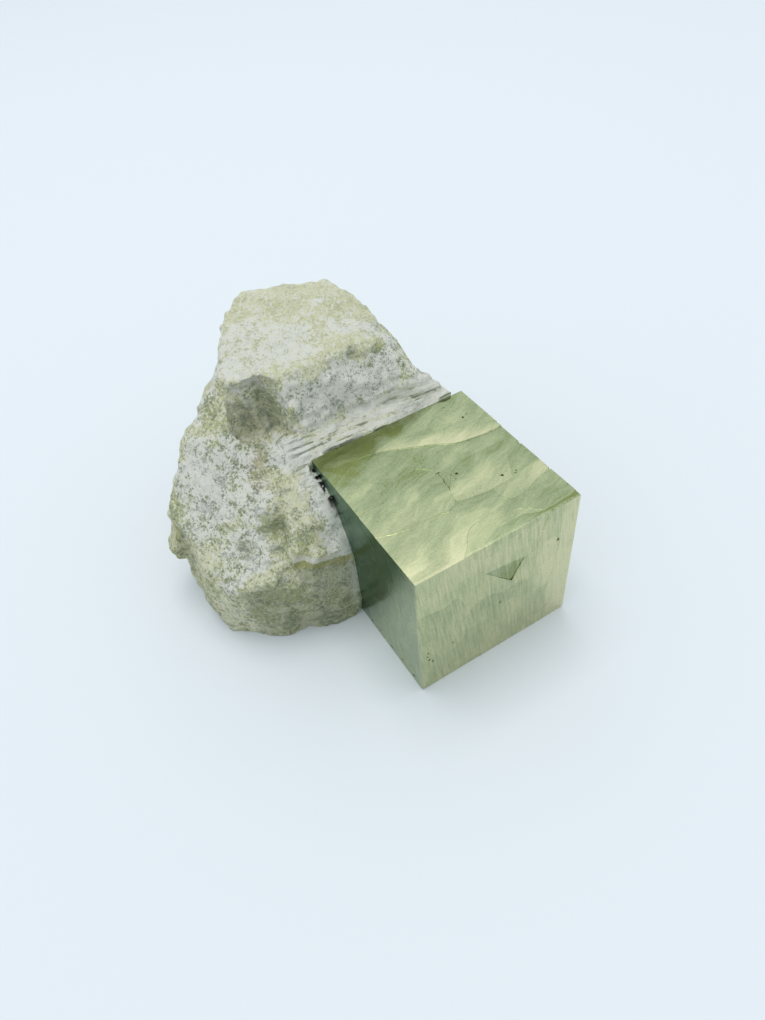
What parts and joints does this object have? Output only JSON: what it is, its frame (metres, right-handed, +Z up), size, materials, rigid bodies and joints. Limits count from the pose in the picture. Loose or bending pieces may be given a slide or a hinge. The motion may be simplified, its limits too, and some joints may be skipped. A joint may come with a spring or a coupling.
{
  "type": "pyrite specimen",
  "caption": "Brassy cubic pyrite crystal set by one corner in a broken chunk of pale olive marl, standing flat on the cube's face and the rock's foot.",
  "frame": {"origin": "middle of the specimen's footprint, on the surface it stands on", "axes": "+Z up; -Y the way the cube's free front face looks; X along the cube's front edge, with the marl on the -X and +Y sides"},
  "size_m": [0.0556, 0.0682, 0.0435],
  "materials": {
    "marl": "matte",
    "pyrite": "satin"
  },
  "bodies": {
    "root": {"marl_matrix": "marl", "pyrite_crystal": "pyrite"}
  },
  "joints": []
}
